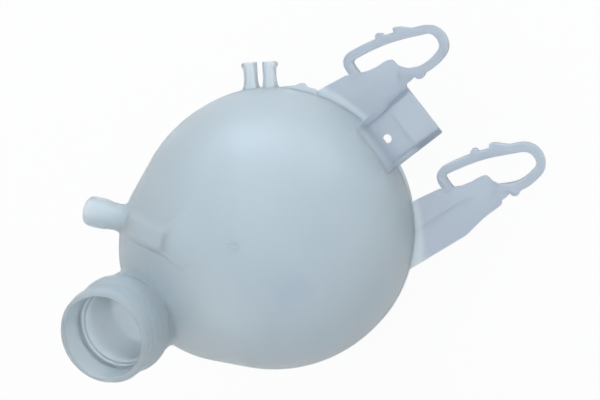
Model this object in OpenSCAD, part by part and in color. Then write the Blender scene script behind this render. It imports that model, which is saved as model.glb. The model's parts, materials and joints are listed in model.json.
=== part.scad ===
// Ball-shaped coolant expansion tank, two moulded half shells welded at mid height.
// Millimetres, +Z up. The origin is the middle of the hole in the mounting lug.

/* [Body] */
// Outer radius of the ball
ball_r = 85; // [75:1:100]
// Outer radius of the smaller sphere under the neck
bulge_r = 71; // [66:0.1:74]
// Distance between the two sphere centres
bulge_shift = 29.5; // [24:0.5:36]
// Turn of the bulge about the vertical, degrees
bulge_turn = -8; // [-12:1:0]
// Wall thickness of both shells
wall = 3; // [2.4:0.1:4]
// How far the weld bead stands out from the wall
bead_out = 0.5; // [0.3:0.1:1.2]
// Height of the weld bead on each shell
bead_h = 1; // [0.6:0.1:1.6]

/* [Filler neck] */
// Distance of the neck axis from the ball centre
neck_shift = 80; // [74:0.5:82]
// Turn of the neck about the vertical, degrees
neck_turn = -2.5; // [-8:0.5:4]
// Height of the rim above the weld plane
neck_top = 94.5; // [90:0.5:110]
// Outer radius of the neck
neck_r = 26.5; // [24.5:0.5:28]
// Inner radius of the mouth above the ledge
mouth_r = 23; // [21.8:0.1:23.4]
// Depth of the ledge below the rim
mouth_depth = 19.5; // [12:0.5:22]
// Inner radius below the ledge
throat_r = 21.3; // [18:0.1:22]
// Outer radius of the collar
collar_r = 28.8; // [28.2:0.1:31]
// Height of the collar
collar_h = 7; // [4:0.5:9]
// Depth of the collar top below the rim
collar_depth = 18.5; // [16:0.5:22]

/* [Vent nipple] */
// Direction of the nipple about the vertical, degrees
nipple_turn = -44.5; // [-52:0.5:-40]
// Sideways shift of the nipple axis from the vertical through the ball centre
nipple_side = 4; // [0:0.5:7]
// Height of the nipple axis above the weld plane
nipple_z = 38; // [34:0.5:44]
// How far the nipple tip stands out past the ball's radius
nipple_reach = 21; // [19:0.5:35]
// Radius of the nipple shank
nipple_r = 8.3; // [7:0.1:9]
// Radius of the raised sleeve at the nipple tip
nipple_sleeve_r = 9.3; // [9.1:0.1:10.4]
// Length of the raised sleeve
nipple_sleeve_l = 13; // [8:0.5:16]
// Bore radius of the nipple
nipple_bore_r = 5.5; // [4:0.1:6]

/* [Vent duct] */
// Width of the duct hump that runs up the shell
duct_w = 16.5; // [15:0.5:20]
// How far the hump's arc stands out from the ball's radius
duct_out = 5; // [4:0.1:6]
// Lean of the hump's plane from the vertical, degrees
duct_lean = 10; // [6:0.5:12]
// Radius of the hump's long edges
duct_edge_r = 2.5; // [1:0.1:3]
// Length of the air pocket at the top of the duct
pocket_l = 24; // [20:1:28]
// Width of the air pocket
pocket_w = 22.5; // [20:0.5:28]
// Sideways distance of the air pocket from the ball centre
pocket_side = 10; // [8:0.5:12]

/* [Mounting lug] */
// Direction of the lug about the vertical, degrees
lug_turn = 184; // [178:1:188]
// How far the lug's end stands out past the ball's radius
lug_reach = 34; // [27:1:45]
// Width of the lug
lug_w = 31.5; // [28:0.5:36]
// Height of the lug's top above the weld plane
lug_z = 20; // [16:0.5:26]
// Thickness of the lug's top plate
lug_t = 3; // [2:0.1:4]
// Thickness of the lug's side walls
lug_side = 3; // [2:0.1:4]
// Distance of the hole past the ball's radius
hole_at = 8; // [6:0.5:13]
// Radius of the hole
hole_r = 2.5; // [2:0.1:4]
// Distance of the sunk field's end past the ball's radius
sunk_end = 18.5; // [15:0.5:23]
// Depth of the sunk field round the hole
sunk_depth = 1.2; // [0.6:0.1:1.5]
// Length over which the side walls rise to the lug's end
lug_rise = 20; // [10:1:24]
// Radius of the fillet between the lug and the ball
lug_fillet_r = 7; // [3:0.5:9]

/* [Hose clips] */
// Sideways place of the first arm
arm_a_y = 49; // [44:0.5:52]
// Sideways place of the second arm
arm_b_y = -35.5; // [-42:0.5:-33]
// How much shorter the second arm reaches
arm_b_back = 7.8; // [0:0.1:12]
// Width of an arm where it leaves the ball
arm_w = 31.6; // [28:0.1:34]
// Thickness of an arm
arm_t = 3; // [2.4:0.1:4]
// Depth of an arm's top face below the weld plane
arm_drop = 2.5; // [1.6:0.1:4]
// Distance from the ball's radius to the loop
arm_l = 15.5; // [12:0.5:20]
// Length of the loop, to the middle of its band
loop_l = 54; // [46:0.5:62]
// Width that the loop's form is drawn to
loop_w = 31; // [28:0.5:36]
// Thickness of the loop's band
band_t = 4.6; // [4:0.1:6]
// Height of the loop's band
band_h = 8; // [5:0.5:12]

/* [Cable prongs] */
// Direction of the pair of prongs, degrees
prong_turn = -122.5; // [-126:0.5:-116]
// Sideways shift of the pair from the line through the ball centre
prong_side = 5; // [0:0.5:6]
// Distance between the prongs, middle to middle
prong_pitch = 12; // [11:0.5:14]
// How far the prong tips stand out past the ball's radius
prong_reach = 15; // [11:0.5:21]
// Width of a prong
prong_w = 6.5; // [4:0.1:7]
// Height of a prong
prong_h = 8; // [6:0.5:10]
// How far the prong head stands out
prong_lip = 1.2; // [0.6:0.1:1.6]

/* [Bottom outlet] */
// Radius of the outlet spigot
outlet_r = 10; // [8:0.1:12]
// Radius of the ring near its end
outlet_ring_r = 11; // [10.2:0.1:13]
// Bore radius of the outlet
outlet_bore_r = 7.5; // [5:0.1:8]
// Length of the spigot below the ball
outlet_l = 27; // [20:1:40]

/* [Gate mark] */
// Radius of the moulding mark on the top
gate_r = 3.1; // [2:0.1:4]
// How far the mark stands up
gate_h = 0.5; // [0.3:0.1:1]

/* [Hidden] */
$fn = 128;

in_ball_r = ball_r - wall;
in_bulge_r = bulge_r - wall;
big = 3 * ball_r;
tint = [0.76, 0.82, 0.87];
tint_low = [0.73, 0.79, 0.84];

// How far cuts run past the faces that they open
over = 1;

// How far pieces on the ball reach into it before its inside is cut
root = 8;

// Distances from the ball centre to the lug's end, its hole, its sunk field's end and the tips
lug_end = ball_r + lug_reach;
hole_place = ball_r + hole_at;
field_end = ball_r + sunk_end;
nipple_tip = ball_r + nipple_reach;
prong_tip = ball_r + prong_reach;

// The ball centre lies here, seen from the hole in the lug
centre = [-hole_place * cos(lug_turn), -hole_place * sin(lug_turn), sunk_depth - lug_z];

// Steps of the two arcs in the body's outline
bulge_steps = 14;
ball_steps = 26;

// Angle from the long axis at which the straight flank touches both spheres
flank = acos((ball_r - bulge_r) / bulge_shift);

// Outline of the body from the bulge's end to the far end, as [distance from the axis, place on it]
function outline_side(r_ball, r_bulge) = concat(
    [for (i = [0 : bulge_steps])
        let (a = flank * i / bulge_steps)
        [r_bulge * sin(a), bulge_shift + r_bulge * cos(a)]],
    [for (i = [0 : ball_steps])
        let (a = flank + (180 - flank) * i / ball_steps)
        [r_ball * sin(a), r_ball * cos(a)]]
);

// The solid that the outline gives when it turns about its long axis
module ball_body(r_ball, r_bulge) {
    rotate([0, 0, bulge_turn])
        rotate([0, 90, 0])
            rotate_extrude()
                polygon(outline_side(r_ball, r_bulge));
}

// Everything above or below the weld plane
module half_space(up) {
    translate([-big, -big, up ? 0 : -2 * big])
        cube(2 * big);
}

// Bead of plastic that the weld presses out, one side of it
module weld_bead(z) {
    translate([0, 0, z])
        linear_extrude(bead_h)
            rotate([0, 0, bulge_turn - 90])
                for (side = [0, 1])
                    mirror([side, 0])
                        polygon(outline_side(ball_r + bead_out, bulge_r + bead_out));
}

// The neck's foot narrows downward into the bulge
foot_z = 8;
foot_top = 40;
foot_taper = 8;

// Outside of the filler neck, from inside the body up to the rim
module neck_outside() {
    rim_edge = 1;
    collar_z = neck_top - collar_depth;
    collar_round = 1.5;
    rotate([0, 0, neck_turn])
        translate([neck_shift, 0, 0]) {
            rotate_extrude()
                polygon([
                    [0, foot_z],
                    [neck_r - foot_taper, foot_z],
                    [neck_r, foot_top],
                    [neck_r, neck_top - rim_edge],
                    [neck_r - rim_edge, neck_top],
                    [0, neck_top]
                ]);
            rotate_extrude()
                polygon([
                    [0, collar_z - collar_h],
                    [neck_r, collar_z - collar_h],
                    [collar_r, collar_z - collar_h + collar_round],
                    [collar_r, collar_z - collar_round],
                    [collar_r - collar_round, collar_z],
                    [0, collar_z]
                ]);
        }
}

// Inside of the filler neck: a wide mouth, a ledge and the throat below it
module neck_inside() {
    lead = 0.8;
    rotate([0, 0, neck_turn])
        translate([neck_shift, 0, 0])
            rotate_extrude()
                polygon([
                    [0, foot_z],
                    [throat_r - foot_taper, foot_z],
                    [throat_r, foot_top],
                    [throat_r, neck_top - mouth_depth],
                    [mouth_r, neck_top - mouth_depth],
                    [mouth_r, neck_top - lead],
                    [mouth_r + lead, neck_top],
                    [mouth_r + lead, neck_top + over],
                    [0, neck_top + over]
                ]);
}

// Places its children along the nipple, with X outward from the vertical axis
module along_nipple() {
    rotate([0, 0, nipple_turn])
        translate([0, nipple_side, nipple_z])
            rotate([0, 90, 0])
                children();
}

// Outside of the vent nipple, with a raised sleeve and a rounded tip
module nipple_outside() {
    start = sqrt(pow(in_ball_r, 2) - pow(nipple_z + nipple_sleeve_r, 2)) - root;
    edge = 1.8;
    ramp = 1;
    along_nipple()
        rotate_extrude()
            polygon([
                [0, start],
                [nipple_r, start],
                [nipple_r, nipple_tip - nipple_sleeve_l - ramp],
                [nipple_sleeve_r, nipple_tip - nipple_sleeve_l],
                [nipple_sleeve_r, nipple_tip - edge],
                [nipple_sleeve_r - edge, nipple_tip],
                [0, nipple_tip]
            ]);
}

// Bore of the vent nipple
module nipple_inside() {
    along_nipple()
        cylinder(r = nipple_bore_r, h = nipple_tip + over);
}

// Arc that climbs the ball from the nipple, in a leaning plane, between two elevations
module arc_band(from_angle, to_angle, r_in, r_out, width, edge) {
    side = nipple_side + nipple_z * tan(duct_lean);
    rotate([0, 0, nipple_turn])
        translate([0, side, 0])
            rotate([90 + duct_lean, 0, 0])
                rotate([0, 0, from_angle])
                    rotate_extrude(angle = to_angle - from_angle)
                        polygon([
                            [r_in, -width / 2],
                            [r_out - edge, -width / 2],
                            [r_out, -width / 2 + edge],
                            [r_out, width / 2 - edge],
                            [r_out - edge, width / 2],
                            [r_in, width / 2]
                        ]);
}

// Elevations of the hump's ends, centre of the ball over the pocket, and the pocket's corner
duct_start = 20;
duct_end = 66;
pocket_lift = [10, -4, 0];
pocket_corner = [0, -pocket_side - pocket_w, 0];

// Hump over the vent duct, from the nipple up to the pocket
module duct_outside() {
    arc_band(duct_start, duct_end, ball_r - root, ball_r + duct_out, duct_w, duct_edge_r);
}

// Channel under the hump, open to the inside of the tank
module duct_inside() {
    side = 2.5;
    skin = 2;
    corner = 1;
    turn = asin(side / ball_r);
    from_angle = duct_start + turn;
    to_angle = duct_end - turn;
    arc_band(from_angle, to_angle, ball_r - 1.5 * root, ball_r + duct_out - skin, duct_w - 2 * side, corner);
}

// Pocket at the top of the duct: a block whose top follows a ball set to one side
module pocket_block(inset, r) {
    intersection() {
        translate(pocket_corner + [inset, inset, ball_r / 2])
            cube([pocket_l - 2 * inset, pocket_w - 2 * inset, ball_r]);
        translate(pocket_lift)
            sphere(r = r);
    }
}

// Small raised ring with a bar, left by the mould on the top
module gate_mark() {
    ring_t = 0.9;
    lean_x = 3.6;
    lean_y = -6.5;
    foot = 2;
    rotate([0, lean_y, 0])
        rotate([lean_x, 0, 0])
            translate([0, 0, ball_r - foot]) {
                difference() {
                    cylinder(r = gate_r, h = foot + gate_h);
                    translate([0, 0, -over])
                        cylinder(r = gate_r - ring_t, h = foot + gate_h + 2 * over);
                }
                translate([-gate_r + ring_t / 2, -ring_t / 2, 0])
                    cube([2 * gate_r - ring_t, ring_t, foot + gate_h]);
            }
}

// Mounting lug: a box open below and at its end, with a hole through the top
module lug() {
    start = in_ball_r - root;
    field_w = lug_w - 2 * lug_side;
    rotate([0, 0, lug_turn]) {
        difference() {
            translate([start, -lug_w / 2, bead_h])
                cube([lug_end - start, lug_w, lug_z - bead_h]);
            translate([start - over, -field_w / 2, 0])
                cube([big, field_w, lug_z - lug_t]);
            translate([start - over, -field_w / 2, lug_z - sunk_depth])
                cube([field_end - start + over, field_w, sunk_depth + over]);
            translate([hole_place, 0, 0])
                cylinder(r = hole_r, h = lug_z + over);
            translate([0, lug_w, 0])
                rotate([90, 0, 0])
                    linear_extrude(2 * lug_w)
                        polygon([
                            [lug_end - lug_rise, 0],
                            [lug_end + over, 0],
                            [lug_end + over, lug_z - lug_t],
                            [lug_end, lug_z - lug_t]
                        ]);
        }
        lug_fillet();
    }
}

// Fillet that leads the ball's wall out onto the lug, let into its top plate
module lug_fillet() {
    sink = 1;
    foot = sqrt(pow(ball_r, 2) - pow(lug_z + lug_fillet_r, 2)) - sink;
    let_in = (lug_t - sunk_depth) / 2;
    translate([0, lug_w / 2, lug_z - sunk_depth])
        rotate([90, 0, 0])
            linear_extrude(lug_w)
                difference() {
                    translate([foot, -let_in])
                        square([lug_fillet_r, lug_fillet_r + let_in]);
                    translate([foot + lug_fillet_r, lug_fillet_r])
                        circle(r = lug_fillet_r);
                }
}

// A point beside the clip, from shares of the loop's length and of a width
function beside(share, width_share, width) = [arm_l + loop_l * share, width * width_share];

// Middle line of the clip loop's band, from the arm out, round the end and back
band_line = [for (p = [
    [0, -0.32],
    [0, -0.63],
    [0.055, -0.72],
    [0.15, -0.71],
    [0.365, -0.65],
    [0.565, -0.56],
    [0.795, -0.4],
    [0.945, -0.3],
    [1, -0.1],
    [0.975, 0.13],
    [0.885, 0.23],
    [0.675, 0.29],
    [0.53, 0.19],
    [0.39, 0.06]
]) beside(p[0], p[1], loop_w)];

// Outlines of the three small teeth on the band
teeth = [
    [[0.41, -0.68], [0.425, -0.75], [0.47, -0.75], [0.485, -0.66], [0.455, -0.58]],
    [[0.6, -0.665], [0.675, -0.63], [0.77, -0.485], [0.75, -0.405], [0.585, -0.5]],
    [[0.62, 0.335], [0.56, 0.38], [0.52, 0.31], [0.51, 0.195], [0.62, 0.225]]
];

// Outline of the arm beyond its root, which ends in a hook nose inside the loop
arm_edge = [
    [-0.305, -0.52],
    [-0.085, -0.47],
    [0.04, -0.38],
    [0.245, -0.265],
    [0.385, -0.25],
    [0.43, -0.19],
    [0.43, -0.065],
    [0.53, 0.11],
    [0.52, 0.26],
    [0.405, 0.29],
    [0.37, 0.36],
    [0.165, 0.385],
    [-0.105, 0.5]
];

// A line of points with each corner cut, which rounds it
function cut_corners(p) = concat(
    [p[0]],
    [for (i = [0 : len(p) - 2])
        each [0.75 * p[i] + 0.25 * p[i + 1], 0.25 * p[i] + 0.75 * p[i + 1]]],
    [p[len(p) - 1]]
);

// Unit vector across a line of points at its point i
function across(p, i) =
    let (along = p[min(i + 1, len(p) - 1)] - p[max(i - 1, 0)])
    [-along[1], along[0]] / norm(along);

// Closed outline of a band that follows a line of points
function band_outline(p, width) = concat(
    [for (i = [0 : len(p) - 1]) p[i] + across(p, i) * width / 2],
    [for (i = [len(p) - 1 : -1 : 0]) p[i] - across(p, i) * width / 2]
);

// Loop of the hose clip, with the small teeth on its band
module clip_loop() {
    polygon(band_outline(cut_corners(cut_corners(band_line)), band_t));
    for (tooth = teeth)
        polygon([for (p = tooth) beside(p[0], p[1], loop_w)]);
}

// Flat arm that carries the loop, from well inside the ball's radius outward
module arm_plate() {
    root_share = 0.63;
    polygon(concat(
        [[-ball_r / 2, -root_share * arm_w]],
        [for (p = arm_edge) beside(p[0], p[1], arm_w)],
        [[-ball_r / 2, arm_w / 2]]
    ));
}

// One arm with its loop, at a sideways place and drawn back by an amount
module clip_arm(y, back) {
    translate([back - ball_r, y, -arm_drop])
        mirror([1, 0, 0]) {
            translate([0, 0, -arm_t])
                linear_extrude(arm_t)
                    arm_plate();
            translate([0, 0, -band_h])
                linear_extrude(band_h)
                    clip_loop();
        }
}

// One cable prong beside the middle of the pair, with a lip on its outer side
module prong(side) {
    half = prong_w / 2;
    flare = 1.2;
    flare_l = 3;
    head = 2.6;
    ramp = 1;
    foot = ball_r + ramp;
    neck = foot + flare_l;
    mirror([0, side, 0])
        translate([0, prong_pitch / 2, -prong_h])
            linear_extrude(prong_h)
                polygon([
                    [in_ball_r, -half - flare],
                    [foot, -half - flare],
                    [neck, -half],
                    [prong_tip, -half],
                    [prong_tip, half],
                    [prong_tip - ramp, half + prong_lip],
                    [prong_tip - head, half + prong_lip],
                    [prong_tip - head - ramp, half],
                    [neck, half],
                    [foot, half + flare],
                    [in_ball_r, half + flare]
                ]);
}

// How far the rib on the weld line stands out past the ball
rib_out = 4.5;

// The rib's outline, as directions from the ball centre and shares of how far it stands out
rib_edge = [
    [233, -1],
    [233.6, 0],
    [225.5, 0.55],
    [224.5, 0.9],
    [222.5, 1],
    [221, 0.6],
    [217.4, 0.7],
    [215.5, -0.9]
];

// Low rib on the weld line between the prongs and the second arm
module seam_rib() {
    translate([0, 0, -arm_drop])
        linear_extrude(arm_drop)
            polygon([for (p = rib_edge)
                let (r = ball_r + rib_out * p[1])
                [r * cos(p[0]), r * sin(p[0])]]);
}

// Outside of the bottom outlet
module outlet_outside() {
    base = -ball_r - outlet_l;
    edge = 1.5;
    ramp = 1;
    ring_back = 7;
    ring_z = base + ring_back;
    ring_h = 3;
    rotate_extrude()
        polygon([
            [0, root - ball_r],
            [outlet_r, root - ball_r],
            [outlet_r, ring_z],
            [outlet_ring_r, ring_z - ramp],
            [outlet_ring_r, ring_z - ring_h],
            [outlet_r - edge, base],
            [0, base]
        ]);
}

// Bore of the bottom outlet
module outlet_inside() {
    translate([0, 0, -ball_r - outlet_l - over])
        cylinder(r = outlet_bore_r, h = outlet_l + ball_r / 2);
}

// Upper half with the filler neck, the vent nipple and its duct, and the lug
module upper_shell() {
    color(tint)
        translate(centre)
            difference() {
                union() {
                    intersection() {
                        ball_body(ball_r, bulge_r);
                        half_space(true);
                    }
                    weld_bead(0);
                    neck_outside();
                    nipple_outside();
                    duct_outside();
                    pocket_block(0, ball_r);
                    gate_mark();
                    lug();
                }
                ball_body(in_ball_r, in_bulge_r);
                neck_inside();
                nipple_inside();
                duct_inside();
                pocket_block(wall, in_ball_r);
            }
}

// Lower half with the two clip arms, the cable prongs and the bottom outlet
module lower_shell() {
    color(tint_low)
        translate(centre)
            difference() {
                union() {
                    intersection() {
                        ball_body(ball_r, bulge_r);
                        half_space(false);
                    }
                    weld_bead(-bead_h);
                    clip_arm(arm_a_y, 0);
                    clip_arm(arm_b_y, arm_b_back);
                    rotate([0, 0, prong_turn])
                        translate([0, prong_side, 0]) {
                            prong(0);
                            prong(1);
                        }
                    seam_rib();
                    outlet_outside();
                }
                ball_body(in_ball_r, in_bulge_r);
                outlet_inside();
            }
}

upper_shell();
lower_shell();
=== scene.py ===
"""Ball-shaped coolant expansion tank, dressed for the picture.

The two moulded half shells are built again with their rounded edges, blended roots, thread and weld bead, and get
a milky, translucent plastic. Lengths in the classes are millimetres in the ball's own frame: its centre is the
origin and the weld plane is z = 0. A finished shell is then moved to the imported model's frame, in metres.
"""

import json
import logging
import math
from dataclasses import dataclass, field
from enum import Enum

import bpy
from mathutils import Matrix, Vector

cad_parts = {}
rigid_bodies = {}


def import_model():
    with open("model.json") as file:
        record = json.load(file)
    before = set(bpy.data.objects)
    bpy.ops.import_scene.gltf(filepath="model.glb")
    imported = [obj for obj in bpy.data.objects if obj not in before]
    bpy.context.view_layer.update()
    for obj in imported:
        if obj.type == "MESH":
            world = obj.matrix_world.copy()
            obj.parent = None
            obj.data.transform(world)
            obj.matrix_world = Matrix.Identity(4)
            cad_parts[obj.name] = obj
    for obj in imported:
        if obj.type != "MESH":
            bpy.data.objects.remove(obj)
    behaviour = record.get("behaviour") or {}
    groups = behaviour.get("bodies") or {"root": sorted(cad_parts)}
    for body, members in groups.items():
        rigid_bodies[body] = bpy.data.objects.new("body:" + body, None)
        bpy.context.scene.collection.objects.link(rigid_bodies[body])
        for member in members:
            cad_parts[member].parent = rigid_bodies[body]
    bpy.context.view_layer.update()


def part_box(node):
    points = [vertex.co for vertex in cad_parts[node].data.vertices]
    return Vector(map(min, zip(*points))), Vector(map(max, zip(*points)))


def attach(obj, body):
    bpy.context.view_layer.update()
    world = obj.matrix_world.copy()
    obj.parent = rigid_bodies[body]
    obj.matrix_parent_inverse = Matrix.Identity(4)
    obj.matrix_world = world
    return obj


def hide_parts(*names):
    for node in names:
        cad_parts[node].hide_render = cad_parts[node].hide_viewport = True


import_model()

log = logging.getLogger("tank")
MM = 0.001
# How far pieces beside the weld plane stay under it, so that the cut along it is clean
SHY = 0.3
TURN = 2 * math.pi
Point = tuple[float, float]


class Way(Enum):
    """How one solid is combined with another."""

    ADD = "UNION"
    CUT = "DIFFERENCE"
    KEEP = "INTERSECT"


class Half(Enum):
    """Which side of the weld plane a shell lies on."""

    UPPER = 1
    LOWER = -1


# --- Bench: the few tools that every piece is made with ---------------------------------------------------------


def only(piece: bpy.types.Object) -> None:
    """Makes one piece the only selected and active object.

    Args:
        piece: The object to work on.
    """
    if bpy.context.object and bpy.context.object.mode != "OBJECT":
        bpy.ops.object.mode_set(mode="OBJECT")
    bpy.ops.object.select_all(action="DESELECT")
    piece.select_set(True)
    bpy.context.view_layer.objects.active = piece


def trace(name: str, points: list[Vector], closed: bool = False) -> bpy.types.Object:
    """Draws a chain of edges through points and stays in edit mode with all of it selected.

    Args:
        name: Name of the new object.
        points: The chain's points, in millimetres.
        closed: Whether the chain runs back to its start and gets a face.

    Returns:
        The object that holds the chain.
    """
    if bpy.context.object and bpy.context.object.mode != "OBJECT":
        bpy.ops.object.mode_set(mode="OBJECT")
    bpy.ops.object.select_all(action="DESELECT")
    bpy.ops.mesh.primitive_circle_add(vertices=3, radius=MM, location=points[0] * MM)
    piece = bpy.context.object
    piece.name = name
    bpy.ops.object.transform_apply(location=True, rotation=True, scale=True)
    bpy.ops.object.mode_set(mode="EDIT")
    bpy.ops.mesh.select_all(action="SELECT")
    bpy.ops.mesh.merge(type="CENTER")
    way = points + points[:1] if closed else points
    for here, there in zip(way, way[1:]):
        bpy.ops.mesh.extrude_region_move(TRANSFORM_OT_translate={"value": (there - here) * MM})
    bpy.ops.mesh.select_all(action="SELECT")
    if closed:
        bpy.ops.mesh.remove_doubles(threshold=2e-6)
        bpy.ops.mesh.edge_face_add()
    return piece


def close_up() -> None:
    """Merges doubles of the piece in edit mode, turns its faces outwards and leaves edit mode."""
    bpy.ops.mesh.select_all(action="SELECT")
    bpy.ops.mesh.remove_doubles(threshold=1e-6)
    bpy.ops.mesh.normals_make_consistent(inside=False)
    bpy.ops.object.mode_set(mode="OBJECT")


def lathe(name: str, outline: list[Point], steps: int = 96, angle: float = TURN) -> bpy.types.Object:
    """Spins an outline about the Z axis.

    Args:
        name: Name of the new object.
        outline: Points as (distance from the axis, height).
        steps: How many steps the spin takes.
        angle: How far it turns, in radians.

    Returns:
        The turned solid.
    """
    piece = trace(name, [Vector((r, 0, z)) for r, z in outline], closed=angle < TURN)
    bpy.ops.mesh.spin(steps=steps, angle=angle, center=(0, 0, 0), axis=(0, 0, 1), use_auto_merge=angle >= TURN)
    close_up()
    return piece


def slab(name: str, outline: list[Point], low: float, high: float) -> bpy.types.Object:
    """Raises a flat outline into a solid.

    Args:
        name: Name of the new object.
        outline: Corners in the XY plane, in order.
        low: Height of the lower face.
        high: Height of the upper face.

    Returns:
        The raised solid.
    """
    piece = trace(name, [Vector((x, y, low)) for x, y in outline], closed=True)
    bpy.ops.mesh.extrude_region_move(TRANSFORM_OT_translate={"value": (0, 0, (high - low) * MM)})
    close_up()
    return piece


def block(name: str, low: tuple[float, float, float], high: tuple[float, float, float]) -> bpy.types.Object:
    """Makes a rectangular solid between two corners, as a tool for cuts or a start for a form.

    Args:
        name: Name of the new object.
        low: Lowest corner.
        high: Highest corner.

    Returns:
        The solid.
    """
    corners = [(low[0], low[1]), (high[0], low[1]), (high[0], high[1]), (low[0], high[1])]
    return slab(name, corners, low[2], high[2])


def round_edges(piece: bpy.types.Object, width: float, segments: int = 3) -> bpy.types.Object:
    """Rounds the sharp edges of a piece.

    Args:
        piece: The piece.
        width: Width of the rounding.
        segments: How many faces it has.

    Returns:
        The same piece.
    """
    only(piece)
    bpy.ops.object.modifier_add(type="BEVEL")
    bevel = piece.modifiers[-1]
    bevel.width = width * MM
    bevel.segments = segments
    bevel.limit_method = "ANGLE"
    bevel.angle_limit = math.radians(35)
    bpy.ops.object.modifier_apply(modifier=bevel.name)
    return piece


def smooth_out(piece: bpy.types.Object) -> bpy.types.Object:
    """Dissolves what a sum of flat forms leaves on its flat faces, so that its edges can be rounded.

    Args:
        piece: The piece.

    Returns:
        The same piece.
    """
    only(piece)
    bpy.ops.object.mode_set(mode="EDIT")
    bpy.ops.mesh.select_all(action="SELECT")
    bpy.ops.mesh.remove_doubles(threshold=0.05 * MM)
    bpy.ops.mesh.dissolve_limited(angle_limit=math.radians(1))
    close_up()
    return piece


def place(
    piece: bpy.types.Object, turn: tuple[float, float, float] = (0, 0, 0), at: tuple[float, float, float] = (0, 0, 0)
) -> bpy.types.Object:
    """Turns a piece about X, then Y, then Z, moves it and applies both to its mesh.

    Args:
        piece: The piece.
        turn: The three turns, in degrees.
        at: Where its origin goes.

    Returns:
        The same piece.
    """
    only(piece)
    piece.rotation_euler = [math.radians(a) for a in turn]
    piece.location = Vector(at) * MM
    bpy.ops.object.transform_apply(location=True, rotation=True, scale=True)
    return piece


def combine(piece: bpy.types.Object, other: bpy.types.Object, way: Way) -> bpy.types.Object:
    """Combines a second solid into the first and removes the second.

    Args:
        piece: The solid that stays.
        other: The solid that is used up.
        way: Add, cut or keep what both share.

    Returns:
        The first solid.
    """
    only(piece)
    bpy.ops.object.modifier_add(type="BOOLEAN")
    step = piece.modifiers[-1]
    step.operation = way.value
    step.solver = "EXACT"
    step.object = other
    bpy.ops.object.modifier_apply(modifier=step.name)
    bpy.data.objects.remove(other)
    return piece


def add_all(first: bpy.types.Object, *others: bpy.types.Object) -> bpy.types.Object:
    """Adds several solids to the first.

    Args:
        first: The solid that stays.
        others: The solids that are used up.

    Returns:
        The first solid.
    """
    for other in others:
        combine(first, other, Way.ADD)
    return first


def melt_together(piece: bpy.types.Object, voxel: float, spread: int, passes: int) -> bpy.types.Object:
    """Remeshes a piece evenly, then softens its inner corners into moulded fillets.

    Args:
        piece: The piece, of overlapping forms already added up.
        voxel: Length of a face's side.
        spread: How many rings of faces beside an inner corner are softened.
        passes: How often they are.

    Returns:
        The same piece.
    """
    only(piece)
    bpy.ops.object.modifier_add(type="REMESH")
    even = piece.modifiers[-1]
    even.mode = "VOXEL"
    even.voxel_size = voxel * MM
    bpy.ops.object.modifier_apply(modifier=even.name)
    bpy.ops.object.mode_set(mode="EDIT")
    bpy.ops.mesh.select_all(action="SELECT")
    bpy.ops.mesh.vertices_smooth(factor=0.5, repeat=3)
    bpy.ops.mesh.select_all(action="DESELECT")
    bpy.ops.object.mode_set(mode="OBJECT")
    mesh = piece.data
    beside: dict[tuple[int, int], list[bpy.types.MeshPolygon]] = {}
    for face in mesh.polygons:
        for key in face.edge_keys:
            beside.setdefault(key, []).append(face)
    for (a, b), faces in beside.items():
        if len(faces) == 2:
            p, q = faces
            hollow = (q.center - p.center).dot(p.normal - q.normal) < 0
            if hollow and p.normal.angle(q.normal, 0) > math.radians(9):
                mesh.vertices[a].select = mesh.vertices[b].select = True
    bpy.ops.object.mode_set(mode="EDIT")
    for _ in range(spread):
        bpy.ops.mesh.select_more()
    bpy.ops.mesh.vertices_smooth(factor=0.5, repeat=passes)
    bpy.ops.object.mode_set(mode="OBJECT")
    return piece


def soften(piece: bpy.types.Object, low: Point, high: Point, above: float, passes: int) -> bpy.types.Object:
    """Softens every edge of a remeshed piece within a rectangle seen from above.

    Args:
        piece: The piece.
        low: Lowest corner of the rectangle.
        high: Highest corner of the rectangle.
        above: Height from which on the piece is softened.
        passes: How often its points are smoothed.

    Returns:
        The same piece.
    """
    only(piece)
    bpy.ops.object.mode_set(mode="EDIT")
    bpy.ops.mesh.select_all(action="DESELECT")
    bpy.ops.object.mode_set(mode="OBJECT")
    for point in piece.data.vertices:
        x, y, z = point.co / MM
        point.select = low[0] < x < high[0] and low[1] < y < high[1] and z > above
    bpy.ops.object.mode_set(mode="EDIT")
    bpy.ops.mesh.vertices_smooth(factor=0.5, repeat=passes)
    bpy.ops.object.mode_set(mode="OBJECT")
    return piece


def clear_slivers(piece: bpy.types.Object) -> bpy.types.Object:
    """Merges points closer than two thousandths of a millimetre, which the cuts can leave on a fine mesh.

    Args:
        piece: The piece.

    Returns:
        The same piece.
    """
    only(piece)
    bpy.ops.object.mode_set(mode="EDIT")
    bpy.ops.mesh.select_all(action="SELECT")
    bpy.ops.mesh.remove_doubles(threshold=0.002 * MM)
    bpy.ops.object.mode_set(mode="OBJECT")
    return piece


def halve(piece: bpy.types.Object, half: Half) -> bpy.types.Object:
    """Cuts a piece at the weld plane and keeps one side, closed by a flat face.

    Args:
        piece: The piece.
        half: The side that stays.

    Returns:
        The same piece.
    """
    only(piece)
    bpy.ops.object.mode_set(mode="EDIT")
    bpy.ops.mesh.select_all(action="SELECT")
    bpy.ops.mesh.bisect(
        plane_co=(0, 0, 0), plane_no=(0, 0, half.value), use_fill=True, clear_inner=True, clear_outer=False
    )
    close_up()
    return piece


def arc(centre: Point, radius: float, start: float, end: float, steps: int) -> list[Point]:
    """Points on an arc, both ends included.

    Args:
        centre: Its centre.
        radius: Its radius.
        start: Angle of its first point, in degrees.
        end: Angle of its last point.
        steps: How many pieces it has.

    Returns:
        The points.
    """
    turns = [math.radians(start + (end - start) * i / steps) for i in range(steps + 1)]
    return [(centre[0] + radius * math.cos(a), centre[1] + radius * math.sin(a)) for a in turns]


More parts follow.
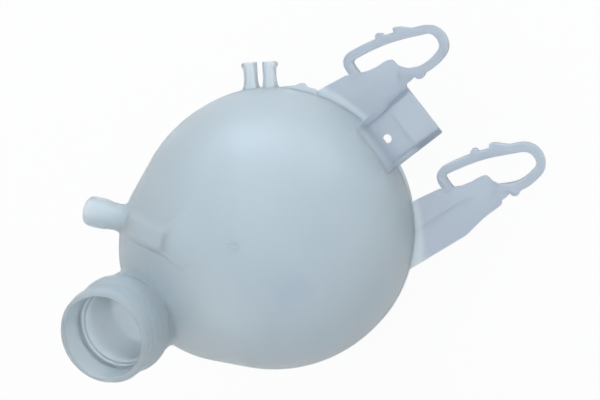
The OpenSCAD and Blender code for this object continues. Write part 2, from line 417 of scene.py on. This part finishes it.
def rounded(line: list[Point], times: int = 2) -> list[Point]:
    """Cuts the corners of an open line, which rounds it.

    Args:
        line: Its points.
        times: How often the corners are cut.

    Returns:
        The rounded line.
    """
    for _ in range(times):
        cut = [line[0]]
        for (ax, ay), (bx, by) in zip(line, line[1:]):
            cut += [(0.75 * ax + 0.25 * bx, 0.75 * ay + 0.25 * by), (0.25 * ax + 0.75 * bx, 0.25 * ay + 0.75 * by)]
        line = cut + [line[-1]]
    return line


def band_outline(line: list[Point], width: float) -> list[Point]:
    """Outline of a band that follows a line.

    Args:
        line: The band's middle line.
        width: Its width.

    Returns:
        The closed outline's corners.
    """
    left, right = [], []
    for i, (x, y) in enumerate(line):
        ahead, behind = line[min(i + 1, len(line) - 1)], line[max(i - 1, 0)]
        along = (Vector(ahead) - Vector(behind)).normalized()
        left.append((x - along.y * width / 2, y + along.x * width / 2))
        right.append((x + along.y * width / 2, y - along.x * width / 2))
    return left + right[::-1]


# --- The body ---------------------------------------------------------------------------------------------------


@dataclass
class Body:
    """The ball with a smaller sphere beside it, joined by a straight flank."""

    ball_r: float = 85
    bulge_r: float = 71
    bulge_shift: float = 29.5
    bulge_turn: float = -8
    wall: float = 3
    bead_out: float = 0.35
    bead_h: float = 0.9

    def side(self, grow: float, fine: int = 1) -> list[Point]:
        """Outline as (distance from the long axis, place on it), from the bulge's end to the far end.

        Args:
            grow: How far outside the outer surface it runs.
            fine: How many times finer than plain its arcs are.

        Returns:
            The outline's points.
        """
        flank = math.degrees(math.acos((self.ball_r - self.bulge_r) / self.bulge_shift))
        small = arc((0, self.bulge_shift), self.bulge_r + grow, 90, 90 - flank, 24 * fine)
        large = arc((0, 0), self.ball_r + grow, 90 - flank, -90, 48 * fine)
        return [(abs(r), z) for r, z in small + large]

    def solid(self, name: str, grow: float) -> bpy.types.Object:
        """The whole body, both halves, as one solid.

        Args:
            name: Name of the new object.
            grow: How far outside the outer surface it lies.

        Returns:
            The solid.
        """
        return place(lathe(name, self.side(grow), 128), (0, 90, self.bulge_turn))

    def bead(self) -> bpy.types.Object:
        """The plastic pressed out along the weld, as a flat ring's outer form."""
        edge = self.side(self.bead_out)
        ring = [(z, r) for r, z in edge] + [(z, -r) for r, z in edge[-2:0:-1]]
        return place(slab("weld_bead", ring, -self.bead_h, self.bead_h), (0, 0, self.bulge_turn))


# --- What is moulded on the upper shell -------------------------------------------------------------------------


@dataclass
class FillerNeck:
    """The filler neck, with its rim, ledge, screw thread and collar."""

    shift: float = 80
    turn: float = -2.5
    top: float = 94.5
    radius: float = 26.5
    mouth_r: float = 23
    mouth_depth: float = 19.5
    throat_r: float = 21.3
    collar_r: float = 28.8
    collar_h: float = 7
    collar_depth: float = 18.5
    foot: float = 8
    foot_top: float = 40
    foot_taper: float = 8
    thread_out: float = 0.4
    thread_pitch: float = 5.2
    thread_turns: float = 2.4

    def seated(self, piece: bpy.types.Object) -> bpy.types.Object:
        """Puts a piece that was made about the Z axis on the neck's own axis."""
        a = math.radians(self.turn)
        return place(piece, (0, 0, self.turn), (self.shift * math.cos(a), self.shift * math.sin(a), 0))

    def outside(self) -> bpy.types.Object:
        """The neck's outer form, from inside the body up to the rounded rim."""
        r, high, edge, soft = self.radius, self.top, 1.1, 1.4
        under, over = high - self.collar_depth - self.collar_h, high - self.collar_depth
        outline = [(0, self.foot), (r - self.foot_taper, self.foot), (r, self.foot_top), (r, under - 1)]
        outline += [(r + 0.4, under - 0.3), (self.collar_r - soft, under)]
        outline += arc((self.collar_r - soft, under + soft), soft, -90, 0, 6)
        outline += arc((self.collar_r - soft, over - soft), soft, 0, 90, 6)
        outline += [(r + 0.4, over + 0.1), (r, over + 0.6)]
        outline += arc((r - edge, high - edge), edge, 0, 90, 6) + [(0, high)]
        return self.seated(lathe("neck", outline, 160))

    def inside(self) -> bpy.types.Object:
        """What is open in the neck: the mouth, the ledge and the throat."""
        lead, soft = 0.9, 0.8
        ledge = self.top - self.mouth_depth
        outline = [(0, self.foot), (self.throat_r - self.foot_taper, self.foot), (self.throat_r, self.foot_top)]
        outline += arc((self.throat_r + soft, ledge - soft), soft, 180, 90, 5)
        outline += [(self.mouth_r - 0.4, ledge), (self.mouth_r, ledge + 0.4), (self.mouth_r, self.top - lead)]
        outline += arc((self.mouth_r + lead, self.top - lead), lead, 180, 100, 5)
        outline += [(self.mouth_r + lead, self.top + 1), (0, self.top + 1)]
        return self.seated(lathe("neck_room", outline, 160))

    def thread(self) -> bpy.types.Object:
        """The low, rounded screw thread that takes the cap."""
        r, out, half = self.radius, self.thread_out, 0.9
        rise = self.thread_pitch * self.thread_turns
        start = self.top - 2.6 - rise
        profile = [(r - 0.5, start - half), (r + 0.1, start - half), (r + out, start - half * 0.35)]
        profile += [(r + out, start + half * 0.35), (r + 0.1, start + half), (r - 0.5, start + half)]
        piece = trace("neck_thread", [Vector((x, 0, z)) for x, z in profile], closed=True)
        bpy.ops.mesh.delete(type="ONLY_FACE")
        bpy.ops.object.mode_set(mode="OBJECT")
        bpy.ops.object.modifier_add(type="SCREW")
        screw = piece.modifiers[-1]
        screw.angle = TURN * self.thread_turns
        screw.screw_offset = rise * MM
        screw.steps = screw.render_steps = round(120 * self.thread_turns)
        screw.use_merge_vertices = False
        bpy.ops.object.modifier_apply(modifier=screw.name)
        bpy.ops.object.mode_set(mode="EDIT")
        bpy.ops.mesh.select_all(action="SELECT")
        bpy.ops.mesh.remove_doubles(threshold=1e-6)
        bpy.ops.mesh.fill_holes(sides=0)
        close_up()
        return self.seated(piece)


@dataclass
class VentNipple:
    """The hose nipple at the side, with its raised sleeve."""

    turn: float = -44.5
    side: float = 4
    height: float = 38
    reach: float = 106
    radius: float = 8.3
    sleeve_r: float = 9.3
    sleeve_l: float = 13
    bore_r: float = 5.5

    def seated(self, piece: bpy.types.Object) -> bpy.types.Object:
        """Lays a piece made about the Z axis along the nipple."""
        a = math.radians(self.turn)
        at = (-self.side * math.sin(a), self.side * math.cos(a), self.height)
        return place(piece, (0, 90, self.turn), at)

    def outside(self) -> bpy.types.Object:
        """The nipple's outer form, with a rounded tip."""
        tip, far = 2.2, self.reach
        outline = [(0, 55), (self.radius, 55), (self.radius, far - self.sleeve_l - 1.4)]
        outline += [(self.sleeve_r - 0.2, far - self.sleeve_l - 0.2), (self.sleeve_r, far - self.sleeve_l + 0.4)]
        outline += arc((self.sleeve_r - tip, far - tip), tip, 0, 90, 7) + [(0, far)]
        return self.seated(lathe("nipple", outline, 72))

    def inside(self) -> bpy.types.Object:
        """The nipple's bore, with a broken edge at its mouth."""
        far, lead = self.reach, 0.7
        outline = [(0, 5), (self.bore_r, 5), (self.bore_r, far - lead), (self.bore_r + lead, far)]
        outline += [(self.bore_r + lead, far + 1), (0, far + 1)]
        return self.seated(lathe("nipple_bore", outline, 64))


@dataclass
class VentDuct:
    """The hump that carries air from the top of the ball down to the nipple."""

    body: Body
    nipple: VentNipple
    width: float = 15.4
    shift: float = -0.5
    out: float = 5
    lean: float = 10
    edge_r: float = 3.4
    start: float = 20
    end: float = 66
    pocket_l: float = 24
    pocket_w: float = 22.5
    pocket_side: float = 10
    pocket_lift: tuple[float, float, float] = (11, -2.2, 0)

    def hump(self) -> bpy.types.Object:
        """The hump's outer form: a rounded section swept up the ball."""
        r_in, r_out, e = self.body.ball_r - 9, self.body.ball_r + self.out, self.edge_r
        left, right = self.shift - self.width / 2, self.shift + self.width / 2
        section = [(r_in, left), *arc((r_out - e, left + e), e, -90, 0, 6), *arc((r_out - e, right - e), e, 0, 90, 6)]
        section.append((r_in, right))
        return self.swept("duct_hump", section, self.start, self.end)

    def channel(self) -> bpy.types.Object:
        """The channel under the hump, open to the inside of the tank."""
        low, high, half = self.body.ball_r - 12, self.body.ball_r + self.out - 2, self.width / 2 - 2.5
        section = [(low, self.shift - half), (high - 1, self.shift - half), (high, self.shift - half + 1)]
        section += [(high, self.shift + half - 1), (high - 1, self.shift + half), (low, self.shift + half)]
        return self.swept("duct_channel", section, self.start + 2, self.end - 2)

    def swept(self, name: str, section: list[Point], start: float, end: float) -> bpy.types.Object:
        """Sweeps a section up the ball in the duct's leaning plane.

        Args:
            name: Name of the new object.
            section: Points as (distance from the plane's axis, place across the duct).
            start: Elevation of its lower end, in degrees.
            end: Elevation of its upper end.

        Returns:
            The swept solid.
        """
        piece = lathe(name, section, 40, math.radians(end - start))
        place(piece, (0, 0, end))
        place(piece, (90 + self.lean, 0, 0))
        side = self.nipple.side + self.nipple.height * math.tan(math.radians(self.lean))
        place(piece, (0, 0, 0), (0, side, 0))
        return place(piece, (0, 0, self.nipple.turn))

    def pocket(self, inset: float = 0) -> bpy.types.Object:
        """The air pocket at the duct's upper end, a block under a ball set to one side.

        Args:
            inset: How far inside the outer form its faces lie.

        Returns:
            The pocket's outer form, or its room.
        """
        near, far = -self.pocket_side - inset, inset - self.pocket_side - self.pocket_w
        long, out = self.pocket_l - inset, self.body.ball_r
        outline = [(inset, near), (long, near), (long + 6, near - 12.5 + inset), (long, far), (inset, far)]
        box = round_edges(slab("air_pocket", outline, out / 2, 1.5 * out), 1.6)
        half_circle = arc((0, 0), out - inset, -90, 90, 96)
        dome = place(lathe("pocket_dome", [(abs(r), z) for r, z in half_circle], 128), at=self.pocket_lift)
        return combine(box, dome, Way.KEEP)


@dataclass
class GateMark:
    """The small ring with a bar that the mould leaves on the top."""

    body: Body
    radius: float = 3.5
    ring_t: float = 0.9
    bar_turn: float = -36
    high: float = 0.5
    lean: tuple[float, float] = (-6.5, -3.6)

    def solid(self) -> bpy.types.Object:
        """The ring and its bar as one raised form."""
        r, t, top, foot = self.radius, self.ring_t, self.high, 2
        outline = [(r - t, -foot), (r, -foot), (r, top - 0.25), (r - 0.25, top), (r - t + 0.25, top), (r - t, top - 0.25)]
        ring = lathe("gate_ring", outline + outline[:1], 48)
        bar = round_edges(block("gate_bar", (t / 2 - r, -t / 2, 0.1 - foot), (r - t / 2, t / 2, top - 0.05)), 0.2, 2)
        combine(ring, bar, Way.ADD)
        place(ring, (0, 0, self.bar_turn), (0, 0, self.body.ball_r))
        place(ring, (-self.lean[1], 0, 0))
        return place(ring, (0, self.lean[0], 0))


@dataclass
class MountingLug:
    """The lug with the bracket hole, open below and at its end."""

    body: Body
    turn: float = 184
    reach: float = 119
    width: float = 31.5
    top: float = 20
    plate_t: float = 3
    side_t: float = 3
    hole_at: float = 93
    hole_r: float = 2.5
    sunk_end: float = 103.5
    sunk_depth: float = 1.2
    rise: float = 20
    fillet_r: float = 7

    def outside(self) -> bpy.types.Object:
        """The lug's full form before it is hollowed."""
        half, start = self.width / 2, self.body.ball_r - 14
        solid = round_edges(block("lug", (start, -half, 0.6), (self.reach, half, self.top)), 0.9)
        inner, floor = half - self.side_t, self.top - self.sunk_depth
        sunk = block("sunk_field", (start - 1, -inner, floor), (self.sunk_end, inner, self.top + 3))
        return place(combine(solid, sunk, Way.CUT), (0, 0, self.turn))

    def fillet(self) -> bpy.types.Object:
        """The soft run-out from the ball's wall onto the lug."""
        r, floor = self.fillet_r, self.top - self.sunk_depth
        foot = math.sqrt(self.body.ball_r**2 - (self.top + r) ** 2) - 1
        outline = [(foot, floor - 1.5), *arc((foot + r, floor + r + 0.03), r, -90, -180, 14)]
        outline.insert(1, (foot + r, floor - 1.5))
        half = self.width / 2 - 0.4
        piece = trace("lug_fillet", [Vector((x, -half, z)) for x, z in outline], closed=True)
        bpy.ops.mesh.extrude_region_move(TRANSFORM_OT_translate={"value": (0, 2 * half * MM, 0)})
        close_up()
        return place(piece, (0, 0, self.turn))

    def inside(self) -> bpy.types.Object:
        """What is taken out of the lug: its socket, its rising lower edge and the hole."""
        inner, start = self.width / 2 - self.side_t, self.body.ball_r - 16
        socket = round_edges(block("lug_socket", (start, -inner, -3), (self.reach + 9, inner, self.top - self.plate_t)), 0.8)
        under, past = self.top - self.plate_t - 0.2, 1
        high = under * (self.rise + past) / self.rise
        slope = [(self.reach - self.rise, -3), (self.reach - self.rise, 0), (self.reach + past, high)]
        slope += [(self.reach + 8, high), (self.reach + 8, -3.5)]
        wedge = trace("lug_slope", [Vector((x, -self.width, z)) for x, z in slope], closed=True)
        bpy.ops.mesh.extrude_region_move(TRANSFORM_OT_translate={"value": (0, 2 * self.width * MM, 0)})
        close_up()
        hole = [(0, self.top - 9), (self.hole_r, self.top - 9), (self.hole_r, self.top + 3), (0, self.top + 3)]
        drill = place(lathe("lug_hole", hole, 64), at=(self.hole_at, 0, 0))
        return place(add_all(socket, wedge, drill), (0, 0, self.turn))


# --- What is moulded on the lower shell -------------------------------------------------------------------------

LOOP_LINE: list[Point] = [
    (100.8, -10), (100.4, -19.5), (103.5, -22.2), (108.5, -21.8), (120.3, -19.8), (131, -16.9), (143.0, -11.9),
    (150.4, -8.8), (153.2, -3), (152.0, 3.8), (147.6, 6.8), (137, 8.5), (129, 5.8), (121.5, 1.8),
]  # fmt: skip


@dataclass
class ClipArm:
    """A flat arm with the open loop of a hose clip at its end."""

    side: float
    back: float
    width: float = 31.6
    plate_t: float = 3
    drop: float = 2.5
    band_t: float = 4.9
    band_h: float = 8

    def plate(self) -> bpy.types.Object:
        """The arm, which ends in a hook nose inside the loop."""
        half = self.width / 2
        outline = [(50, -half - 4), (84, -half - 0.6), (96, 1 - half), (102.6, -12), (108, -9.6), (113.7, -8.4)]
        outline += [(118.5, -8.3), (121.3, -7.9), (123, -7), (123.6, -6), (123.9, -4.2), (124.2, -2.4), (126, 0.2)]
        outline += [(129, 3.5), (129.3, 6), (128.5, 8.3), (125.5, 9.2), (122.4, 9.3), (121.6, 11), (120.6, 11.5)]
        outline += [(115, 11.9), (109.4, 12.5), (102, 14.2), (94.8, half), (50, half)]
        return slab("arm_plate", outline, -self.plate_t, 0)

    def loop(self) -> bpy.types.Object:
        """The loop's band with its teeth."""
        band = slab("clip_band", band_outline(rounded(LOOP_LINE), self.band_t), -self.band_h, 0)
        button = rounded([(124.6, -18), (122.3, -20), (122.6, -23), (124.6, -23.9), (126.6, -23), (127, -20)])
        hook = [(131.5, -15.5), (133, -19), (133.6, -20.8), (135, -20.7), (137.5, -19.4), (140, -17), (143, -14.4), (141, -12)]
        catch = [(134.4, 10.2), (132.6, 11.3), (130.6, 11.6), (129, 10.4), (128.2, 8), (128, 6), (134, 7)]
        return add_all(band, *(slab("clip_tooth", form, -self.band_h, 0) for form in (button, hook, catch)))

    def gusset(self) -> bpy.types.Object:
        """The low rib that stiffens the arm's root on its underside."""
        outline = [(70, -1.2), (104, -1.2), (108, 0), (104, 1.2), (70, 1.2)]
        return slab("arm_gusset", outline, -self.plate_t - 2.5, -1)

    def solid(self) -> bpy.types.Object:
        """The whole arm where it belongs, reaching towards -X."""
        piece = round_edges(smooth_out(add_all(self.plate(), self.loop(), self.gusset())), 0.5, 2)
        only(piece)
        bpy.ops.object.mode_set(mode="EDIT")
        bpy.ops.mesh.select_all(action="SELECT")
        bpy.ops.transform.mirror(orient_type="GLOBAL", constraint_axis=(True, False, False), center_override=(0, 0, 0))
        close_up()
        return place(piece, at=(self.back, self.side, -self.drop))


@dataclass
class CablePair:
    """The two upright prongs that hold a cable beside the weld."""

    body: Body
    turn: float = -122.5
    shift: float = 5
    pitch: float = 12
    reach: float = 100
    width: float = 6.5
    height: float = 8
    lip: float = 1.2

    def prong(self, hand: int) -> bpy.types.Object:
        """One prong beside the pair's middle.

        Args:
            hand: 1 or -1, the side that it stands on.

        Returns:
            The prong, in place.
        """
        half, flare, head, r = self.width / 2, 1.2, 2.6, self.body.ball_r
        outline = [(r - 6, -half - flare), (r, -half - flare), (r + 1.4, -half - 0.5), (r + 4, -half), (self.reach, -half)]
        outline += [(self.reach, half), (self.reach - 1, half + self.lip), (self.reach - head, half + self.lip)]
        outline += [(self.reach - head - 1, half), (r + 4, half), (r + 1.4, half + 0.5), (r, half + flare)]
        outline.append((r - 6, half + flare))
        mirrored = [(x, hand * y) for x, y in outline]
        piece = round_edges(slab("prong", mirrored, -self.height, -SHY), 0.5)
        place(piece, at=(0, self.shift + hand * self.pitch / 2, 0))
        return place(piece, (0, 0, self.turn))


@dataclass
class SeamRib:
    """The low rib on the weld line between the prongs and the second arm."""

    height: float = 2.5

    def solid(self) -> bpy.types.Object:
        """The rib, in place."""
        outline = [(-48, -64), (-50.5, -68.5), (-61.3, -62.4), (-63.5, -62.4), (-66, -60.5)]
        outline += [(-66.2, -57.5), (-70, -53.6), (-66, -47)]
        return round_edges(slab("seam_rib", outline, -self.height, -SHY), 0.6)


@dataclass
class BottomOutlet:
    """The return outlet below the ball, with a ring that keeps the hose on."""

    body: Body
    radius: float = 10
    ring_r: float = 11
    bore_r: float = 7.5
    length: float = 27

    def outside(self) -> bpy.types.Object:
        """The spigot's outer form."""
        base = -self.body.ball_r - self.length
        outline = [(0, base), (self.radius - 2, base), (self.radius - 1.4, base + 0.5), (self.ring_r - 0.3, base + 3.6)]
        outline += [(self.ring_r, base + 4.2), (self.ring_r, base + 5.6), (self.ring_r - 0.4, base + 6.2)]
        outline += [(self.radius, base + 7), (self.radius, 8 - self.body.ball_r), (0, 8 - self.body.ball_r)]
        return lathe("outlet", outline, 96)

    def inside(self) -> bpy.types.Object:
        """The spigot's bore."""
        base, far = -self.body.ball_r - self.length, -self.body.ball_r + 20
        outline = [(0, base - 1), (self.bore_r + 0.7, base - 1), (self.bore_r + 0.7, base), (self.bore_r, base + 0.7)]
        return lathe("outlet_bore", outline + [(self.bore_r, far), (0, far)], 72)


# --- The plastic ------------------------------------------------------------------------------------------------


@dataclass(frozen=True)
class NaturalPlastic:
    """Unpigmented polypropylene: milky, satin, lets light through. The brackets get painted shade, a darker colour that
    stands in for less light coming through them.

    Brackets lie on the low side of X and further from the hub than the body reaches. Both limits are a stretch in
    metres over which the painted shade fades in.
    """

    name: str
    hub: Vector
    bracket_x: tuple[float, float] = (0.022, 0.040)
    bracket_far: tuple[float, float] = (0.1045, 0.1005)
    pale: tuple[float, float, float, float] = (0.825, 0.905, 0.972, 1)
    deep: tuple[float, float, float, float] = (0.795, 0.878, 0.942, 1)
    painted_bracket_shade: tuple[float, float, float, float] = (0.61, 0.69, 0.775, 1)
    roughness: tuple[float, float] = (0.35, 0.47)
    milk: float = 1.0
    milk_reach: tuple[float, float, float] = (0.002, 0.002, 0.002)
    clear: float = 0.66

    def material(self) -> bpy.types.Material:
        """Builds the shader.

        Returns:
            The new material.
        """
        made = bpy.data.materials.new(self.name)
        made.use_nodes = True
        nodes, links = made.node_tree.nodes, made.node_tree.links
        skin = next(n for n in nodes if n.type == "BSDF_PRINCIPLED")
        place_ = nodes.new("ShaderNodeTexCoord")

        def noise(scale: float, detail: float, rough: float = 0.5) -> bpy.types.Node:
            """Adds a noise pattern on the object's own coordinates."""
            node = nodes.new("ShaderNodeTexNoise")
            node.inputs["Scale"].default_value = scale
            node.inputs["Detail"].default_value = detail
            node.inputs["Roughness"].default_value = rough
            links.new(place_.outputs["Object"], node.inputs["Vector"])
            return node

        clouds = noise(16, 3)
        apart = nodes.new("ShaderNodeSeparateXYZ")
        links.new(place_.outputs["Object"], apart.inputs["Vector"])
        away = nodes.new("ShaderNodeVectorMath")
        away.operation = "DISTANCE"
        away.inputs[1].default_value = self.hub
        links.new(place_.outputs["Object"], away.inputs[0])
        # Painted shade mask: 0 on the brackets, 1 on the body. The brackets' darker colour stands in for less light
        # coming through them
        body = nodes.new("ShaderNodeMath")
        body.operation = "MAXIMUM"
        sides = ((apart.outputs["X"], self.bracket_x), (away.outputs["Value"], self.bracket_far))
        for slot, (measure, limits) in enumerate(sides):
            within = nodes.new("ShaderNodeMapRange")
            within.inputs["From Min"].default_value, within.inputs["From Max"].default_value = limits
            links.new(measure, within.inputs["Value"])
            links.new(within.outputs["Result"], body.inputs[slot])
        both = nodes.new("ShaderNodeMath")
        both.operation = "MULTIPLY"
        tint = nodes.new("ShaderNodeValToRGB")
        tint.color_ramp.elements[0].position, tint.color_ramp.elements[1].position = 0.32, 0.70
        tint.color_ramp.elements[0].color, tint.color_ramp.elements[1].color = self.deep, self.pale
        # Painted shade: the ramp's first stop gives the brackets their darker colour
        tint.color_ramp.elements.new(0).color = self.painted_bracket_shade
        links.new(body.outputs["Value"], both.inputs[0])
        links.new(clouds.outputs["Fac"], both.inputs[1])
        links.new(both.outputs["Value"], tint.inputs["Fac"])
        links.new(tint.outputs["Color"], skin.inputs["Base Color"])

        wiped = noise(55, 4)
        spread = nodes.new("ShaderNodeMapRange")
        spread.inputs["To Min"].default_value, spread.inputs["To Max"].default_value = self.roughness
        links.new(wiped.outputs["Fac"], spread.inputs["Value"])
        links.new(spread.outputs["Result"], skin.inputs["Roughness"])

        grain = noise(900, 2, 0.6)
        waves = noise(45, 1)
        fine = nodes.new("ShaderNodeBump")
        fine.inputs["Strength"].default_value, fine.inputs["Distance"].default_value = 0.12, 0.0002
        soft = nodes.new("ShaderNodeBump")
        soft.inputs["Strength"].default_value, soft.inputs["Distance"].default_value = 0.25, 0.0012
        links.new(grain.outputs["Fac"], fine.inputs["Height"])
        links.new(waves.outputs["Fac"], soft.inputs["Height"])
        links.new(soft.outputs["Normal"], fine.inputs["Normal"])
        links.new(fine.outputs["Normal"], skin.inputs["Normal"])

        skin.inputs["IOR"].default_value = 1.49
        skin.inputs["Subsurface Weight"].default_value = self.milk
        skin.inputs["Subsurface Radius"].default_value = self.milk_reach
        skin.inputs["Subsurface Scale"].default_value = 1.0
        skin.inputs["Transmission Weight"].default_value = self.clear
        return made


# --- The two shells ---------------------------------------------------------------------------------------------


@dataclass
class Tank:
    """Both half shells and the values that they share."""

    body: Body = field(default_factory=Body)
    neck: FillerNeck = field(default_factory=FillerNeck)
    nipple: VentNipple = field(default_factory=VentNipple)
    voxel: float = 1.0

    def __post_init__(self) -> None:
        """Makes the parts that take their place from the body or the nipple."""
        self.duct = VentDuct(self.body, self.nipple)
        self.gate = GateMark(self.body)
        self.lug = MountingLug(self.body)
        self.arms = [ClipArm(49, 0), ClipArm(-35.5, 7.8)]
        self.cable = CablePair(self.body)
        self.rib = SeamRib()
        self.outlet = BottomOutlet(self.body)
        a, reach = math.radians(self.lug.turn), self.lug.hole_at
        self.centre = Vector((-reach * math.cos(a), -reach * math.sin(a), self.lug.sunk_depth - self.lug.top))

    def finish(self, piece: bpy.types.Object, node: str, plastic: bpy.types.Material) -> bpy.types.Object:
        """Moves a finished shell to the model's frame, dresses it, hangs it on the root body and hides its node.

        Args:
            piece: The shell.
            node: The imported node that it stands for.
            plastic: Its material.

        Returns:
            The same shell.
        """
        place(piece, at=tuple(self.centre))
        bpy.ops.object.shade_smooth_by_angle(angle=math.radians(38))
        piece.name = piece.data.name = node + "_dressed"
        piece.data.materials.clear()
        piece.data.materials.append(plastic)
        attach(piece, "root")
        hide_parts(node)
        log.info("%s: %d faces", piece.name, len(piece.data.polygons))
        return piece

    def upper_shell(self, plastic: bpy.types.Material) -> bpy.types.Object:
        """The upper half: neck, nipple, duct, gate mark and lug."""
        shell = add_all(
            self.body.solid("upper", 0), self.neck.outside(), self.nipple.outside(),
            self.duct.hump(), self.duct.pocket(),
        )  # fmt: skip
        melt_together(shell, self.voxel, 3, 12)
        soften(shell, (-3, -62), (72, -5), 30, 9)
        add_all(shell, self.body.bead(), self.neck.thread(), self.gate.solid(), self.lug.outside(), self.lug.fillet())
        halve(shell, Half.UPPER)
        room = add_all(
            self.body.solid("upper_room", -self.body.wall), self.neck.inside(), self.nipple.inside(),
            self.duct.channel(), self.duct.pocket(self.body.wall),
        )  # fmt: skip
        combine(shell, room, Way.CUT)
        combine(shell, self.lug_room(), Way.CUT)
        clear_slivers(shell)
        return self.finish(shell, "upper_shell", plastic)

    def lug_room(self) -> bpy.types.Object:
        """What is cut from the lug, kept out of the ball's wall."""
        return combine(self.lug.inside(), self.body.solid("kept_wall", -0.4), Way.CUT)

    def lower_shell(self, plastic: bpy.types.Material) -> bpy.types.Object:
        """The lower half: hose-clip arms, cable prongs, rib and outlet."""
        shell = add_all(
            self.body.solid("lower", 0), self.body.bead(), *(arm.solid() for arm in self.arms),
            self.cable.prong(1), self.cable.prong(-1), self.rib.solid(), self.outlet.outside(),
        )  # fmt: skip
        halve(shell, Half.LOWER)
        room = add_all(self.body.solid("lower_room", -self.body.wall), self.outlet.inside())
        combine(shell, room, Way.CUT)
        return self.finish(shell, "lower_shell", plastic)


# --- The studio -------------------------------------------------------------------------------------------------


@dataclass
class Studio:
    """A pale floor, soft lamps and the camera."""

    centre: Vector
    floor_z: float
    focal_px: float = 824
    image_w: float = 600
    eye: tuple[float, float, float] = (-193.09, -5.34, 465.47)
    right: tuple[float, float, float] = (-0.7789, 0.5593, -0.2839)
    up: tuple[float, float, float] = (-0.5255, -0.8290, -0.1914)

    def camera(self) -> None:
        """Sets the camera at the photograph's viewing angle."""
        bpy.ops.object.camera_add()
        camera = bpy.context.object
        camera.name = "camera"
        right, up = Vector(self.right).normalized(), Vector(self.up).normalized()
        axes = Matrix((right, up, right.cross(up))).transposed().to_4x4()
        camera.matrix_world = Matrix.Translation((Vector(self.eye) + self.centre) * MM) @ axes
        camera.data.sensor_width = 36
        camera.data.lens = 36 * self.focal_px / self.image_w
        camera.data.clip_start, camera.data.clip_end = 0.01, 20
        bpy.context.scene.camera = camera

    def lamp(self, name: str, way: tuple[float, float, float], far: float, size: float, power: float,
             tint: tuple[float, float, float] = (1, 1, 1)) -> None:  # fmt: skip
        """Adds a square soft lamp that looks at the ball's centre.

        Args:
            name: Its name.
            way: Direction from the ball's centre to it.
            far: Its distance, in metres.
            size: Its side, in metres.
            power: Its power, in watts.
            tint: Its colour.
        """
        direction = Vector(way).normalized()
        bpy.ops.object.light_add(type="AREA", location=self.centre * MM + direction * far)
        lamp = bpy.context.object
        lamp.name = name
        lamp.rotation_euler = direction.to_track_quat("Z", "Y").to_euler()
        lamp.data.size = size
        lamp.data.energy = power
        lamp.data.color = tint

    def any_of(self, nodes: bpy.types.Nodes, links: bpy.types.NodeLinks, path: bpy.types.Node,
               kinds: tuple[str, ...]) -> bpy.types.NodeSocket:  # fmt: skip
        """Joins several kinds of ray.

        Args:
            nodes: The material's nodes.
            links: The material's links.
            path: Its Light Path node.
            kinds: Names of the node's outputs.

        Returns:
            An output that is 1 for a ray of any of the kinds.
        """
        found = path.outputs[kinds[0]]
        for kind in kinds[1:]:
            either = nodes.new("ShaderNodeMath")
            either.operation = "MAXIMUM"
            links.new(found, either.inputs[0])
            links.new(path.outputs[kind], either.inputs[1])
            found = either.outputs["Value"]
        return found

    def floor(self) -> None:
        """Lays a wide white floor that keeps a faint shadow."""
        bpy.ops.mesh.primitive_plane_add(size=12, location=(0, 0, self.floor_z))
        floor = bpy.context.object
        floor.name = "floor"
        white = bpy.data.materials.new("floor_white")
        white.use_nodes = True
        nodes, links = white.node_tree.nodes, white.node_tree.links
        paint = next(n for n in nodes if n.type == "BSDF_PRINCIPLED")
        out = next(n for n in nodes if n.type == "OUTPUT_MATERIAL")
        paint.inputs["Base Color"].default_value = (0.92, 0.92, 0.92, 1)
        paint.inputs["Roughness"].default_value = 0.9
        glow, mix, path = (nodes.new("ShaderNode" + k) for k in ("Emission", "MixShader", "LightPath"))
        seen = nodes.new("ShaderNodeMath")
        seen.operation = "MULTIPLY"
        seen.inputs[1].default_value = 0.9
        links.new(self.any_of(nodes, links, path, ("Is Camera Ray", "Is Glossy Ray", "Is Transmission Ray")), seen.inputs[0])
        links.new(seen.outputs[0], mix.inputs["Fac"])
        links.new(paint.outputs[0], mix.inputs[1])
        links.new(glow.outputs[0], mix.inputs[2])
        links.new(mix.outputs[0], out.inputs["Surface"])
        floor.data.materials.append(white)

    def air(self) -> None:
        """Fills the room with even, pale light."""
        world = bpy.data.worlds.new("room")
        bpy.context.scene.world = world
        world.use_nodes = True
        sky = world.node_tree.nodes["Background"]
        sky.inputs["Color"].default_value = (0.97, 0.985, 1, 1)
        sky.inputs["Strength"].default_value = 0.74

    def build(self) -> None:
        """Sets up the whole studio."""
        self.camera()
        self.floor()
        self.air()
        self.lamp("lamp_left", (-0.378, -0.911, 0.164), 0.9, 0.45, 3.0, (0.72, 0.85, 1.0))
        self.lamp("lamp_right", (-0.904, -0.417, 0.098), 0.9, 0.45, 1.4)
        self.lamp("lamp_above", (-0.2, -0.2, 1), 1.5, 1.2, 3.2)
        self.lamp("lamp_low", (0.74, 0.38, 0.48), 0.9, 0.45, 0.5)
        view = bpy.context.scene.view_settings
        view.view_transform = "Standard"
        log.info("studio is set")


def main() -> None:
    """Builds the tank and its studio."""
    logging.basicConfig(level=logging.INFO, format="%(name)s: %(message)s")
    tank = Tank()
    plastic = NaturalPlastic("natural_plastic", (tank.centre + Vector((15, 0, 0))) * MM).material()
    tank.upper_shell(plastic)
    tank.lower_shell(plastic)
    Studio(tank.centre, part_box("lower_shell")[0].z - 0.0002).build()


if __name__ == "__main__":
    main()
